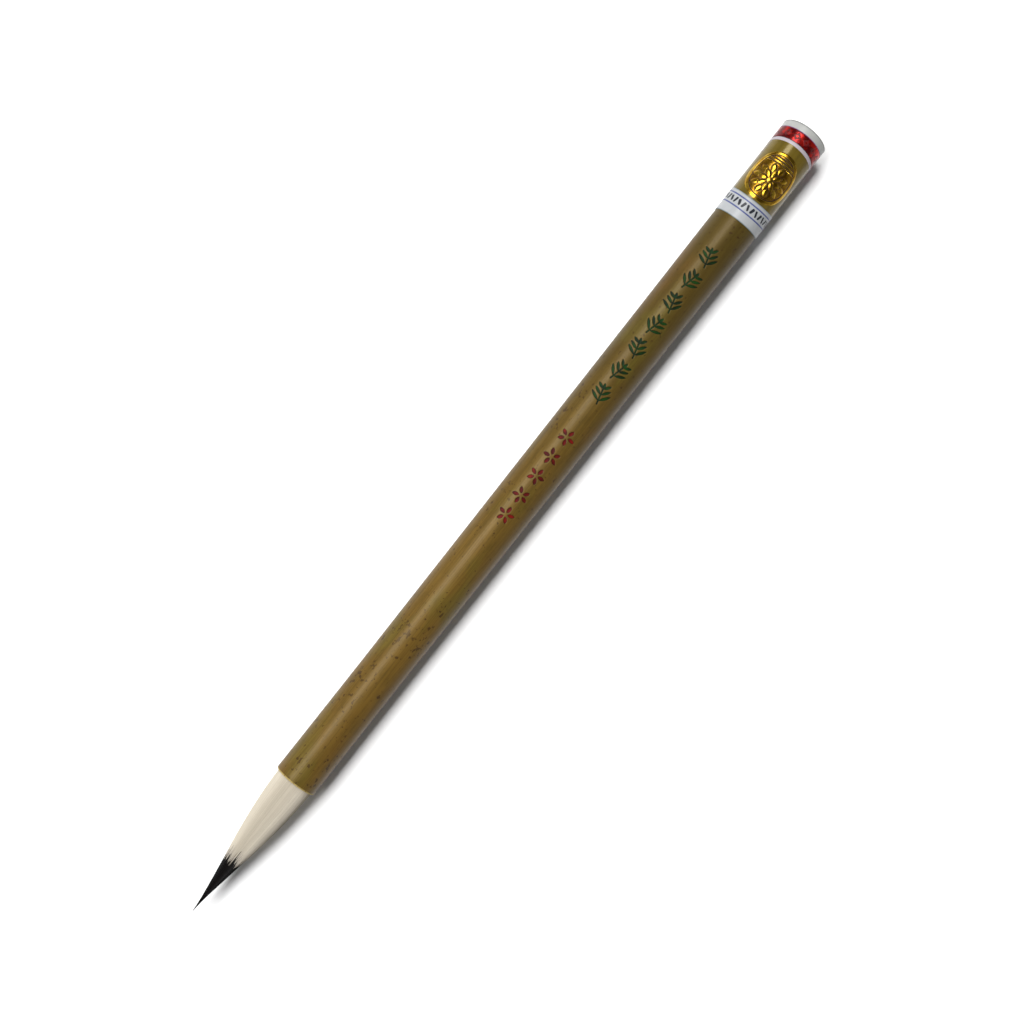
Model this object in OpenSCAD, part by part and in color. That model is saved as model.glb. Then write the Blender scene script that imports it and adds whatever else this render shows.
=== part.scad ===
// A writing brush: bamboo handle, hair tuft and printed end label.
// It lies along X with the hair point towards -X. Millimetres, +Z up,
// origin under the middle of the brush on the surface it lies on.

/* [Handle] */
// Length of the bamboo handle
handle_len = 190.4; // [176:0.4:230]
// Diameter of the bamboo at its mouth, where the hair comes out
mouth_d = 10.35; // [10:0.05:11]
// Diameter of the bamboo at its tail, under the label
tail_d = 11.6; // [11.2:0.05:12.5]
// Length of the straight stretch at the mouth that a cap slides over
cap_seat_len = 30; // [24:1:40]
// Radius of the worn edge at the mouth
mouth_round = 0.3; // [0.2:0.05:0.4]
// Diameter of the natural hollow in the bamboo
hollow_d = 3.4; // [2.4:0.2:4]
// Depth of the socket bored in the mouth for the hair root
socket_depth = 10; // [10:0.5:14]

/* [Tuft] */
// Length of hair outside the mouth
tuft_len = 36.6; // [34:0.2:44]
// Diameter of the tuft as it leaves the mouth
tuft_d = 8.95; // [8.5:0.05:9]
// Diameter of the dark core of point hair
core_d = 3.8; // [3:0.1:4.2]
// Diameter of the core with its lining of shorter hair
lining_d = 4.9; // [4.6:0.1:5.4]
// Distance of the bending point outside the mouth
bend_out = 5.5; // [5.5:0.1:6]

/* [Inlay] */
// Distance from the mouth to the first red blossom
red_start = 76.1; // [60:0.1:77]
// Distance between red blossoms
red_pitch = 5.6; // [5:0.1:6]
// Width of a red blossom
red_size = 4.4; // [3.6:0.1:4.6]
// Distance from the mouth to the first green sprig
green_start = 111.2; // [105:0.1:112]
// Distance between green sprigs
green_pitch = 6.7; // [6:0.1:6.8]
// Width of a green sprig
green_size = 5.4; // [4.6:0.1:5.4]
// Depth of the engraving
engrave_depth = 0.25; // [0.2:0.01:0.3]

/* [Label] */
// Length of the clear film sleeve on the tail
label_len = 27.8; // [27:0.1:30]
// Thickness of the film
film_t = 0.05; // [0.04:0.01:0.08]
// Thickness of each printed layer on the film
print_t = 0.04; // [0.03:0.01:0.05]
// How far the gold foil stands above the film
foil_t = 0.07; // [0.05:0.01:0.09]
// Angle by which the hem of the label leans away from square
hem_lean = 8.8; // [0:0.1:10]
// Angle by which the lines of the white band lean
band_lean = 14.5; // [0:0.1:15]
// Angle by which the inner edge of the red band leans, the other way
red_lean = 6.4; // [0:0.1:8]

/* [Hidden] */
$fn = 64;

mouth_r = mouth_d / 2;
tail_r = tail_d / 2;
total_len = handle_len + tuft_len;
x_mouth = tuft_len - total_len / 2;
x_tail = total_len / 2;
film_r = tail_r + film_t;
print_r = film_r + print_t;
line_t = 0.02;
axis_z = print_r + line_t;
cone_end = handle_len - label_len - 4;
through = 0.5;

// How far the paint lies below the bamboo's surface, and its gap to the engraving
paint_drop = 0.07;
paint_gap = 0.02;

// Places along the label, measured back from the tail face
blue_line_1 = 25.6;
blue_line_2 = 22.9;
line_w = 0.34;
band_top = 21.7;
foil_mid = 14.75;
white_line_start = 5.7;
red_start_back = 4.7;
end_band_start = 1.87;
end_trim_start = 0.15;

// The socket and what fills it
glue_t = 0.15;
root_r = mouth_r - 0.625 - glue_t;
socket_r = root_r + glue_t;
glue_floor = 0.5;
rosin_t = 1.5;
root_end = socket_depth - glue_floor - rosin_t;
thread_r = 0.14;
thread_turns = 8;
thread_pitch = 0.5;
thread_start = root_end - 0.6;
bound_r = root_r - 2 * thread_r - 0.02;

// The ball joint that stands for the bending of the hair
bend_range = 40;
ball_gap = 0.08;
flank_clearance = 3.5;
ball_r = tuft_r(bend_out) - 0.04;

tuft_steps = 16;

// Radius of the bamboo at a distance from the mouth
function bamboo_r(s) =
    s <= cap_seat_len ? mouth_r
    : s >= cone_end ? tail_r
    : mouth_r + (tail_r - mouth_r) * (s - cap_seat_len) / (cone_end - cap_seat_len);

// Radius of the tuft at a distance outside the mouth: a full belly and a fine point
function tuft_r(u) = tuft_d / 2 * pow(max(0, 1 - pow(u / tuft_len, 1.8)), 1.45);

// Puts what is drawn along +Z from the mouth to the tail onto the brush's own axis
module on_axis() {
    translate([x_mouth, 0, axis_z]) rotate([0, 90, 0]) children();
}

// The bamboo's outer form, grown by a distance, with no edges rounded
module bamboo_form(grow) {
    on_axis() rotate_extrude() polygon([
        [0, -grow], [mouth_r + grow, -grow], [mouth_r + grow, cap_seat_len],
        [tail_r + grow, cone_end], [tail_r + grow, handle_len + grow],
        [0, handle_len + grow]]);
}

// A leaf from the origin along +X, bounded by two arcs
module leaf(len, wide) {
    arc_r = (len * len + wide * wide) / (4 * wide);
    intersection() {
        translate([len / 2, arc_r - wide / 2]) circle(r = arc_r);
        translate([len / 2, wide / 2 - arc_r]) circle(r = arc_r);
    }
}

// A straight sprig: three pairs of narrow leaves and an end leaf on a stem, all
// slimmer by a gap
module sprig(size, gap) {
    wide = size * 0.13 - 2 * gap;
    for (pair = [0:2], side = [-1, 1])
        translate([size * (0.27 * pair - 0.32), 0]) rotate(side * 50)
            leaf(size * (0.6 - 0.1 * pair), wide);
    translate([size * 0.2, 0]) leaf(size * 0.3, wide);
    translate([-size / 2, gap - size * 0.035])
        square([size * 0.75, size * 0.07 - 2 * gap]);
}

// A blossom of five narrow petals about an open centre, each slimmer by a gap
module blossom(size, gap) {
    for (a = [0:4])
        rotate(a * 72) translate([size * 0.1, 0])
            leaf(size * 0.4, size * 0.2 - 2 * gap);
}

module green_marks(gap) {
    for (i = [0:6])
        translate([x_mouth + green_start + i * green_pitch, 0, axis_z])
            linear_extrude(tail_d) rotate(i % 2 == 0 ? 14 : -14) sprig(green_size, gap);
}

module red_marks(gap) {
    for (i = [0:4])
        translate([x_mouth + red_start + i * red_pitch, 0, axis_z])
            linear_extrude(tail_d) rotate(i * 31) blossom(red_size, gap);
}

// Paint lying in the engraving, a little below the surface and just clear of its floor
module paint_layer() {
    difference() {
        bamboo_form(-paint_drop);
        bamboo_form(paint_gap - engrave_depth);
    }
}

module bamboo_handle() {
    color("#7d6c44") difference() {
        on_axis() rotate_extrude() polygon([
            [0, 0],
            for (a = [0:30:90]) [mouth_r - mouth_round * (1 - sin(a)), mouth_round * (1 - cos(a))],
            [mouth_r, cap_seat_len], [tail_r, cone_end],
            [tail_r, handle_len], [0, handle_len]]);
        on_axis() translate([0, 0, -through]) cylinder(r = socket_r, h = socket_depth + through);
        on_axis() cylinder(d = hollow_d, h = handle_len + through);
        difference() {
            union() {
                green_marks(0);
                red_marks(0);
            }
            bamboo_form(-engrave_depth);
        }
    }
}

module tail_plug() {
    plug_len = 8;
    color("#b89a63") on_axis()
        translate([0, 0, handle_len - plug_len]) cylinder(d = hollow_d, h = plug_len);
}

module green_inlay() {
    color("#1f4a2a") intersection() {
        green_marks(paint_gap);
        paint_layer();
    }
}

module red_inlay() {
    color("#7a1d1a") intersection() {
        red_marks(paint_gap);
        paint_layer();
    }
}

// Everything on the tip side of a plane that leans about Y and passes through the
// top of the label at a distance from the tail
module ahead_of(back, lean) {
    reach = 2 * tail_d;
    translate([x_tail - back, 0, axis_z + tail_r]) rotate([0, -lean, 0])
        translate([-2 * label_len, -reach, -2 * reach])
            cube([2 * label_len, 2 * reach, 3 * reach]);
}

// A band round the label between two leaning edges
module label_band(r_in, r_out, from, from_lean, to, to_lean) {
    difference() {
        intersection() {
            on_axis() difference() {
                translate([0, 0, handle_len - label_len - 1])
                    cylinder(r = r_out, h = label_len + 1);
                translate([0, 0, handle_len - label_len - 2])
                    cylinder(r = r_in, h = label_len + 3);
            }
            ahead_of(to, to_lean);
        }
        ahead_of(from, from_lean);
    }
}

module label_film() {
    color("#cfc9a8", 0.35) label_band(tail_r, film_r, label_len, hem_lean, 0, 0);
}

module label_white_band() {
    color("#dfe0e4")
        label_band(film_r, print_r, label_len, hem_lean, band_top, band_lean);
}

module label_blue_lines() {
    color("#3c4470") for (back = [blue_line_1, blue_line_2])
        label_band(print_r, print_r + line_t, back, band_lean, back - line_w, band_lean);
}

// A plain border of slanting dashes between the blue lines, in place of lettering
module label_pattern() {
    dashes = 30;
    dash_w = 0.5;
    dash_len = 1.4;
    mid = handle_len - (blue_line_1 + blue_line_2) / 2;
    color("#22242c") intersection() {
        on_axis() difference() {
            cylinder(r = print_r + line_t, h = handle_len);
            translate([0, 0, -1]) cylinder(r = print_r, h = handle_len + 2);
        }
        on_axis() for (i = [0:dashes - 1])
            rotate(i * 360 / dashes)
                translate([-print_r, 0, mid + tan(band_lean) * tail_r * (1 - cos(i * 360 / dashes))])
                    rotate([i % 2 == 0 ? 30 : -30, 0, 0])
                        cube([1, dash_w, dash_len], center = true);
    }
}

// A lotus of eight petals in an oval ring
module lotus() {
    ring_w = 0.7;
    oval_x = 6.5;
    oval_y = 5;
    petals = 8;
    difference() {
        scale([oval_x, oval_x]) circle(r = 1);
        scale([oval_x - ring_w, oval_x - ring_w]) circle(r = 1);
        translate([-oval_x, oval_y]) square([2 * oval_x, oval_x]);
        translate([-oval_x, -oval_y - oval_x]) square([2 * oval_x, oval_x]);
    }
    for (i = [0:petals - 1])
        rotate(i * 360 / petals) translate([1.3, 0]) leaf(3.6, 1.7);
    circle(r = 1);
}

module gold_foil_ornament() {
    color("#c9a227") intersection() {
        translate([x_tail - foil_mid, 0, axis_z]) linear_extrude(tail_d) lotus();
        on_axis() difference() {
            cylinder(r = film_r + foil_t, h = handle_len);
            translate([0, 0, -1]) cylinder(r = film_r, h = handle_len + 2);
        }
    }
}

module white_line_ring() {
    color("#e9e4ea")
        label_band(film_r, print_r, white_line_start, -red_lean, red_start_back, -red_lean);
}

module red_foil_band() {
    color("#b5121b")
        label_band(film_r, print_r, red_start_back, -red_lean, end_band_start, 0);
}

module end_band() {
    color("#cfd3d1") label_band(film_r, print_r, end_band_start, 0, end_trim_start, 0);
}

module end_trim() {
    color("#4a4f4c") label_band(film_r, print_r + line_t, end_trim_start, 0, 0, 0);
}

module socket_glue() {
    color("#d8b25a") on_axis() difference() {
        cylinder(r = socket_r, h = socket_depth);
        translate([0, 0, -through])
            cylinder(r = root_r, h = socket_depth - glue_floor + through);
    }
}

module rosin_plug() {
    color("#8a5a20") on_axis() translate([0, 0, root_end]) cylinder(r = root_r, h = rosin_t);
}

module root_binding() {
    color("#e8e2cf") on_axis() for (i = [0:thread_turns - 1])
        translate([0, 0, thread_start - i * thread_pitch])
            rotate_extrude() translate([root_r - thread_r - 0.01, 0]) circle(r = thread_r, $fn = 24);
}

// The whole bundle of hair, from the end of its root to its point
module hair_bundle() {
    on_axis() rotate_extrude() polygon([
        [0, root_end],
        [bound_r, root_end],
        [bound_r, thread_start - thread_turns * thread_pitch],
        [root_r, thread_start - thread_turns * thread_pitch - 0.4],
        [root_r, 0],
        for (i = [1:tuft_steps - 1])
            [tuft_r(tuft_len * i / tuft_steps), -tuft_len * i / tuft_steps],
        [0, -tuft_len]]);
}

// One layer of the bundle, between two radii
module hair_layer(r_in, r_out) {
    intersection() {
        hair_bundle();
        on_axis() difference() {
            translate([0, 0, -tuft_len - 1]) cylinder(r = r_out, h = tuft_len + socket_depth);
            if (r_in > 0)
                translate([0, 0, -tuft_len - 2]) cylinder(r = r_in, h = tuft_len + socket_depth + 2);
        }
    }
}

module bend_ball(r) {
    on_axis() translate([0, 0, -bend_out]) sphere(r = r);
}

// The free hair: all that is ahead of the bending point, and a ball about it
module free_part() {
    intersection() {
        children();
        union() {
            bend_ball(ball_r);
            on_axis() translate([0, 0, -tuft_len - 1])
                cylinder(r = tuft_d, h = tuft_len + 1 - bend_out);
        }
    }
}

// The fixed hair: all that is behind the ball, cut back so that the free hair can swing
module fixed_part() {
    open_angle = bend_range + flank_clearance;
    cone_r = tuft_d;
    difference() {
        children();
        bend_ball(ball_r + ball_gap);
        on_axis() translate([0, 0, -bend_out]) rotate_extrude()
            polygon([[0, -tuft_len], [cone_r, -tuft_len],
                [cone_r, cone_r * tan(open_angle)], [0, 0]]);
    }
}

module core_root() { color("#3a2c33") fixed_part() hair_layer(0, core_d / 2); }
module lining_root() { color("#8c8078") fixed_part() hair_layer(core_d / 2, lining_d / 2); }
module mantle_root() { color("#eee8da") fixed_part() hair_layer(lining_d / 2, tuft_d); }
module core_hair() { color("#1c1418") free_part() hair_layer(0, core_d / 2); }
module lining_hair() { color("#9a8e86") free_part() hair_layer(core_d / 2, lining_d / 2); }
module mantle_hair() { color("#f2ede2") free_part() hair_layer(lining_d / 2, tuft_d); }

bamboo_handle();
tail_plug();
green_inlay();
red_inlay();
label_film();
label_white_band();
label_blue_lines();
label_pattern();
gold_foil_ornament();
white_line_ring();
red_foil_band();
end_band();
end_trim();
socket_glue();
rosin_plug();
root_binding();
core_root();
lining_root();
mantle_root();
core_hair();
lining_hair();
mantle_hair();
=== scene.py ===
# %% [markdown]
# A Chinese writing brush, built round its CAD frame
#
# The brush has a bamboo handle with inlaid marks, a printed label round its tail and
# a tuft of white hair with a black point. The CAD model fixes where each part is and
# how the tuft bends. This lesson loads that model and dresses it part by part with
# finer shapes and procedural finishes. All work is in metres, and the brush lies
# along X with its point towards -X.

# %% Load the frame
import math

import bpy
import numpy as np
from mathutils import Matrix, Vector


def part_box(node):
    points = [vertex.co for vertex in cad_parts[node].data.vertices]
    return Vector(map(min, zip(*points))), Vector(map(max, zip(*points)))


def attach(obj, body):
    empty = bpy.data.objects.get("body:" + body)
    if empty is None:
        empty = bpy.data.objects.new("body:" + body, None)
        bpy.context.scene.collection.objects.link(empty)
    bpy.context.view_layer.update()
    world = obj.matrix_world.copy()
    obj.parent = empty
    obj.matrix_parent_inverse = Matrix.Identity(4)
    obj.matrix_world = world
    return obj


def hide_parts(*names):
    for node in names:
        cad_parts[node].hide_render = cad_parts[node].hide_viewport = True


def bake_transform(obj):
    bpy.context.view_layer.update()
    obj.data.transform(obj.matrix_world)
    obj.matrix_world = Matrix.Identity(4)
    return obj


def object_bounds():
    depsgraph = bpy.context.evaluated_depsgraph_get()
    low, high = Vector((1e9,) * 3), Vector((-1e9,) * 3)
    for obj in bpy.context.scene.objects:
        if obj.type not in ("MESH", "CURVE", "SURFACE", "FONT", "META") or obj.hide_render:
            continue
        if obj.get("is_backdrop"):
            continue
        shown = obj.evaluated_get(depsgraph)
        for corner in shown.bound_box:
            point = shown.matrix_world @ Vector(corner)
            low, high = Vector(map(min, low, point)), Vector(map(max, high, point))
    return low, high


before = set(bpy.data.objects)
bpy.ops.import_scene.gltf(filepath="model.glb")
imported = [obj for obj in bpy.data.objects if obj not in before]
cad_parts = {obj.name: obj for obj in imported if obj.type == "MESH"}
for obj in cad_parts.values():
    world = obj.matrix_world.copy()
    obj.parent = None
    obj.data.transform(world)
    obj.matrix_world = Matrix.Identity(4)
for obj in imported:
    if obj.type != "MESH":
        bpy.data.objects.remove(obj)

cad_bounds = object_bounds()
handle_low, handle_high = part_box("bamboo_handle")
hair_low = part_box("core_hair")[0]

MM = 0.001
MOUTH_X = handle_low.x / MM
TAIL_X = handle_high.x / MM
POINT_X = hair_low.x / MM
AXIS_Z = (handle_low.z + handle_high.z) / 2 / MM
TAIL_R = (handle_high.z - handle_low.z) / 2 / MM
MOUTH_R = 5.175
HANDLE_LEN = TAIL_X - MOUTH_X
TUFT_LEN = MOUTH_X - POINT_X
FILM_R = TAIL_R + 0.05
PRINT_R = FILM_R + 0.04
print(f"handle {HANDLE_LEN:.1f} mm, tuft {TUFT_LEN:.1f} mm, tail radius {TAIL_R:.2f} mm")

# %% [markdown]
# The camera
#
# A brush is drawn best from almost straight above, with its point low on the left.
# A camera can be placed by angles or by a target. Here the directions of the
# picture's right and up edges are given first, and a small tilt along the brush is
# added after, so that the brush keeps its slant in the picture while the tilt changes.

# %% Camera
LENS_MM = 47.9
TILT = math.radians(4.6)
REACH = 307.1
AIM = Vector((0.57, -0.75, AXIS_Z + 5.5))
SLANT = math.radians(51.7)

picture_right = Vector((math.cos(SLANT), -math.sin(SLANT), 0))
picture_up = Vector((math.sin(SLANT), math.cos(SLANT), 0))
tilt = Matrix.Rotation(-TILT, 3, "Y")
right, up = tilt @ picture_right, tilt @ picture_up
back = right.cross(up)

camera_data = bpy.data.cameras.new("studio_camera")
camera_data.lens = LENS_MM
camera_data.sensor_width = 36
camera = bpy.data.objects.new("studio_camera", camera_data)
camera.matrix_world = Matrix.Translation((AIM + back * REACH) * MM) @ Matrix(
    (right, up, back)).transposed().to_4x4()
bpy.context.collection.objects.link(camera)
bpy.context.scene.camera = camera
print("camera stands at", [round(v, 4) for v in camera.matrix_world.translation])

# %% [markdown]
# Shader arithmetic
#
# A procedural finish is a small sum: grain plus specks, mixed by a mask. Wiring each
# step by hand hides that sum. Wrapping a socket in a class that knows the
# plain operators keeps it readable: an expression adds its own Math nodes, and a
# colour or a vector goes through Mix or Vector Math so that it keeps its channels.


# %% Wire and Finish
class Wire:
    """An output socket that takes part in plain arithmetic."""

    def __init__(self, finish, socket):
        self.finish, self.socket = finish, socket

    def _sum(self, operation, a, b):
        kinds = [v.socket.type for v in (a, b) if isinstance(v, Wire)]
        if "RGBA" in kinds:
            return self.finish.mix(1.0, a, b, operation)
        if "VECTOR" in kinds:
            pair = [v if isinstance(v, (Wire, tuple)) else (v,) * 3 for v in (a, b)]
            return self.finish.node("VectorMath", {"operation": operation},
                                    dict(enumerate(pair)))
        return self.finish.node("Math", {"operation": operation}, {0: a, 1: b})

    def __add__(self, other):
        return self._sum("ADD", self, other)

    def __radd__(self, other):
        return self._sum("ADD", other, self)

    def __sub__(self, other):
        return self._sum("SUBTRACT", self, other)

    def __rsub__(self, other):
        return self._sum("SUBTRACT", other, self)

    def __mul__(self, other):
        return self._sum("MULTIPLY", self, other)

    def __rmul__(self, other):
        return self._sum("MULTIPLY", other, self)


MIX_FACTOR, MIX_A, MIX_B, MIX_COLOUR_OUT = 0, 6, 7, 2


class Finish:
    """A material, or a sky, whose nodes come from expressions."""

    def __init__(self, name, library=bpy.data.materials):
        self.block = library.new(name)
        self.block.use_nodes = True
        self.tree = self.block.node_tree
        self.tree.nodes.clear()

    def node(self, kind, settings=None, values=None, out=0):
        """Adds one node: settings first, then the value or link of each socket."""
        node = self.tree.nodes.new("ShaderNode" + kind)
        for key, value in (settings or {}).items():
            setattr(node, key, value)
        for key, value in (values or {}).items():
            socket = node.inputs[key]
            if isinstance(value, Wire):
                self.tree.links.new(value.socket, socket)
            elif socket.type == "RGBA" and len(value) == 3:
                socket.default_value = (*value, 1)
            else:
                socket.default_value = value
        return Wire(self, node.outputs[out])

    def mix(self, factor, a, b, how="MIX"):
        return self.node("Mix", {"data_type": "RGBA", "blend_type": how},
                         {MIX_FACTOR: factor, MIX_A: a, MIX_B: b}, out=MIX_COLOUR_OUT)

    def place(self):
        return self.node("TexCoord", out="Object")

    def parts(self, vector):
        split = self.node("SeparateXYZ", values={0: vector})
        return [Wire(self, s) for s in split.socket.node.outputs]

    def noise(self, vector, scale, detail=3.0, roughness=0.5):
        return self.node("TexNoise", values={"Vector": vector, "Scale": scale,
                                             "Detail": detail, "Roughness": roughness})

    def step(self, value, low, high):
        """0 below low and 1 above high, with a smooth rise between."""
        return self.node("MapRange", {"interpolation_type": "SMOOTHSTEP", "clamp": True},
                         {"Value": value, "From Min": low, "From Max": high})

    def mark(self, name):
        """A number stored on the mesh's points."""
        return self.node("Attribute", {"attribute_name": name}, out="Fac")

    def bump(self, height, distance_mm, strength=1.0):
        return self.node("Bump", values={"Height": height, "Strength": strength,
                                         "Distance": distance_mm * MM})

    def surface(self, **sockets):
        values = {key.replace("_", " "): value for key, value in sockets.items()}
        return self.show(self.node("BsdfPrincipled", values=values), "OutputMaterial")

    def show(self, shader, output):
        """Links a shader to the output that Blender draws."""
        node = self.tree.nodes.new("ShaderNode" + output)
        self.tree.links.new(shader.socket, node.inputs["Surface"])
        return self.block


def linear(red, green, blue):
    """The linear colour of three screen values from 0 to 255."""
    shares = (v / 255 for v in (red, green, blue))
    return tuple(v / 12.92 if v <= 0.04045 else ((v + 0.055) / 1.055) ** 2.4 for v in shares)


print("mid grey in linear light:", round(linear(128, 128, 128)[0], 3))

# %% [markdown]
# Studio
#
# The brush lies on a plain pale table. The light has two jobs: a long soft box
# high above, a little to one side, draws the soft bright line that lacquered bamboo
# shows along its whole length, and a brighter horizon with a dim top fills the sides.
# A dim top matters: a bright one would lay a grey haze over the dark bamboo.

# %% Table, sky and lamps
bpy.context.scene.view_settings.view_transform = "Standard"

TABLE_HALF = 4.0
table_finish = Finish("table")
speckle = table_finish.noise(table_finish.place(), 300, 4)
table_material = table_finish.surface(
    Base_Color=table_finish.mix(speckle, (0.86, 0.86, 0.86), (0.89, 0.89, 0.89)), Roughness=0.7)
table_mesh = bpy.data.meshes.new("table")
table_mesh.from_pydata([(-TABLE_HALF, -TABLE_HALF, 0), (TABLE_HALF, -TABLE_HALF, 0),
                        (TABLE_HALF, TABLE_HALF, 0), (-TABLE_HALF, TABLE_HALF, 0)],
                       [], [(0, 1, 2, 3)])
table_mesh.materials.append(table_material)
table_top = bpy.data.objects.new("table", table_mesh)
bpy.context.collection.objects.link(table_top)
table_top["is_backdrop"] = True

HORIZON, ZENITH = 0.5, 0.1
sky = Finish("studio", bpy.data.worlds)
height = sky.parts(sky.node("TexCoord", out="Generated"))[2]
fade = sky.node("MapRange", {"interpolation_type": "SMOOTHSTEP"},
                {"Value": height, "From Min": 0.2, "From Max": 0.5,
                 "To Min": HORIZON, "To Max": ZENITH})
glow = sky.node("Background", values={"Strength": fade})
bpy.context.scene.world = sky.show(glow, "OutputWorld")


LAMP_LONG = 0.9


def soft_box(name, place, wide, watts):
    """A rectangular lamp aimed at the brush, with its long side along it."""
    lamp = bpy.data.lights.new(name, "AREA")
    lamp.shape, lamp.size, lamp.size_y, lamp.energy = "RECTANGLE", LAMP_LONG, wide, watts
    stand = bpy.data.objects.new(name, lamp)
    away = Vector(place).normalized()
    across = away.cross(Vector((1, 0, 0))).normalized()
    stand.matrix_world = Matrix.Translation(place) @ Matrix(
        (across.cross(away), across, away)).transposed().to_4x4()
    bpy.context.collection.objects.link(stand)


soft_box("strip_above", (0.0, 0.25, 0.58), 0.26, 8.3)
soft_box("fill_far_side", (0.0, 0.75, 0.45), 0.5, 0.25)
soft_box("fill_near_side", (0.0, -0.75, 0.45), 0.5, 0.4)
print("one strip above and two side boxes")

# %% [markdown]
# Turned shapes
#
# Almost every part of the brush is round about one axis, so a lathe grid is the
# natural way to build it: rows go along the brush, columns go round it. Turned
# curves with a Screw modifier would be shorter, but a grid in code can also carry
# engraving, leaning edges and numbers for the shader at each point.


# %% Grid helpers
def on_brush(along, angle, radius):
    """Points from millimetres past the mouth, angle from the top, and radius."""
    along, angle, radius = np.broadcast_arrays(along, angle, radius)
    return np.stack([MOUTH_X + along, radius * np.sin(angle),
                     AXIS_Z + radius * np.cos(angle)], -1)


def grid_faces(rows, columns, wrap_rows=False, wrap_columns=True, first=0):
    """The quads of a grid, with its outside facing away from the axis."""
    i, j = np.meshgrid(np.arange(rows if wrap_rows else rows - 1),
                       np.arange(columns if wrap_columns else columns - 1), indexing="ij")
    i2, j2 = (i + 1) % rows, (j + 1) % columns
    quads = np.stack([i * columns + j, i2 * columns + j,
                      i2 * columns + j2, i * columns + j2], -1)
    return (first + quads.reshape(-1, 4)).tolist()


def make_piece(name, points, faces, material, marks=None, sharp=35.0):
    """A mesh object from points in millimetres, with numbers stored on its points."""
    mesh = bpy.data.meshes.new(name)
    mesh.from_pydata((np.asarray(points).reshape(-1, 3) * MM).tolist(), [], faces)
    for mark, values in (marks or {}).items():
        mesh.attributes.new(mark, "FLOAT", "POINT").data.foreach_set(
            "value", np.asarray(values, dtype=np.float32).ravel())
    mesh.polygons.foreach_set("use_smooth", [True] * len(mesh.polygons))
    mesh.set_sharp_from_angle(angle=math.radians(sharp))
    mesh.materials.append(material)
    piece = bpy.data.objects.new(name, mesh)
    bpy.context.collection.objects.link(piece)
    print(f"{name}: {len(mesh.vertices)} points, {len(mesh.polygons)} faces")
    return piece


# %% [markdown]
# Engraved marks
#
# The writing on such a handle is cut with a small knife and filled with paint. Here
# plain sprigs and blossoms stand in its place. A cut could be made with a Boolean,
# but that leaves long thin faces that shade badly on a curved wall. Instead the wall
# has a fine grid where the marks are, and each point sinks by how far it is inside a
# mark. A leaf is the space between two arcs, so that distance has a short formula.

# %% Marks
rng = np.random.default_rng(7)
CUT_DEPTH = 0.25
WALL_SLOPE = 2.2
PAINT_DROP = 0.05
GREEN_START, GREEN_PITCH, GREEN_SIZE = 111.2, 6.7, 5.4
RED_START, RED_PITCH, RED_SIZE = 76.1, 5.6, 4.4
GREEN_STRETCH = (108.1, 154.4)
RED_STRETCH = (73.4, 101.0)


def inside_leaf(x, y, root, turn, length, wide, bow):
    """How far points are inside a leaf that starts at root, in millimetres."""
    u = (x - root[0]) * math.cos(turn) + (y - root[1]) * math.sin(turn)
    v = (y - root[1]) * math.cos(turn) - (x - root[0]) * math.sin(turn)
    v = v - bow * u * (length - u) / length
    arc = (length ** 2 + wide ** 2) / (4 * wide)
    return arc - np.hypot(u - length / 2, np.abs(v) + arc - wide / 2)


def inside_stem(x, y, start, end, half):
    """How far points are inside a round-ended stroke from start to end."""
    run = np.array(end) - start
    t = np.clip(((x - start[0]) * run[0] + (y - start[1]) * run[1]) / (run @ run), 0, 1)
    return half - np.hypot(x - start[0] - t * run[0], y - start[1] - t * run[1])


def turned(point, turn):
    """A point turned about the origin."""
    return (point[0] * math.cos(turn) - point[1] * math.sin(turn),
            point[0] * math.sin(turn) + point[1] * math.cos(turn))


def cut_sprig(middle, size, turn):
    """The strokes of a stem with three pairs of leaves and an end leaf."""
    strokes = []
    for pair in range(3):
        for side in (-1, 1):
            root = turned((size * (0.27 * pair - 0.32), 0), turn)
            strokes.append((
                "leaf", (middle + root[0], root[1]),
                turn + side * math.radians(50 + rng.uniform(-3, 3)),
                size * (0.6 - 0.1 * pair) * rng.uniform(0.95, 1.0),
                size * 0.13 * rng.uniform(0.97, 1.02), side * rng.uniform(0.02, 0.1)))
    root = turned((0.2 * size, 0), turn)
    strokes.append(("leaf", (middle + root[0], root[1]), turn, size * 0.3, size * 0.13, 0.0))
    foot, neck = turned((-0.46 * size, 0), turn), turned((0.23 * size, 0), turn)
    strokes.append(("stem", (middle + foot[0], foot[1]), (middle + neck[0], neck[1]),
                    size * 0.035))
    return strokes


def cut_blossom(middle, size, turn):
    """The strokes of a blossom of five petals about an open centre."""
    strokes = []
    for a in range(5):
        way = turn + math.radians(a * 72 + rng.uniform(-3, 3))
        root = turned((0.1 * size, 0), way)
        strokes.append(("leaf", (middle + root[0], root[1]), way,
                        size * 0.4 * rng.uniform(0.94, 1.0), size * 0.2, 0.0))
    return strokes


def inside_marks(x, y, marks):
    """How far points are inside the nearest stroke; less than 0 is outside."""
    best = np.full(np.broadcast(x, y).shape, -1.0)
    for kind, *facts in marks:
        test = inside_leaf if kind == "leaf" else inside_stem
        best = np.maximum(best, test(x, y, *facts))
    return best


green_marks = [stroke for i in range(7) for stroke in cut_sprig(
    GREEN_START + i * GREEN_PITCH, GREEN_SIZE, math.radians(14 if i % 2 == 0 else -14))]
red_marks = [stroke for i in range(5) for stroke in cut_blossom(
    RED_START + i * RED_PITCH, RED_SIZE, math.radians(i * 31))]
print(f"{len(green_marks)} green strokes, {len(red_marks)} red strokes")

# %% [markdown]
# Bamboo finish
#
# A cured bamboo culm is ochre under a thin natural skin, with fine fibres along it,
# soft clouds of olive and brown, a few dark specks near the mouth end, and pale wood
# with dark fibre ends wherever it is cut across. An image could give all this, but
# noise stretched along the brush gives it at any size and has no seams.


# %% Bamboo
INSIDE_R = 4.9


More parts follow.
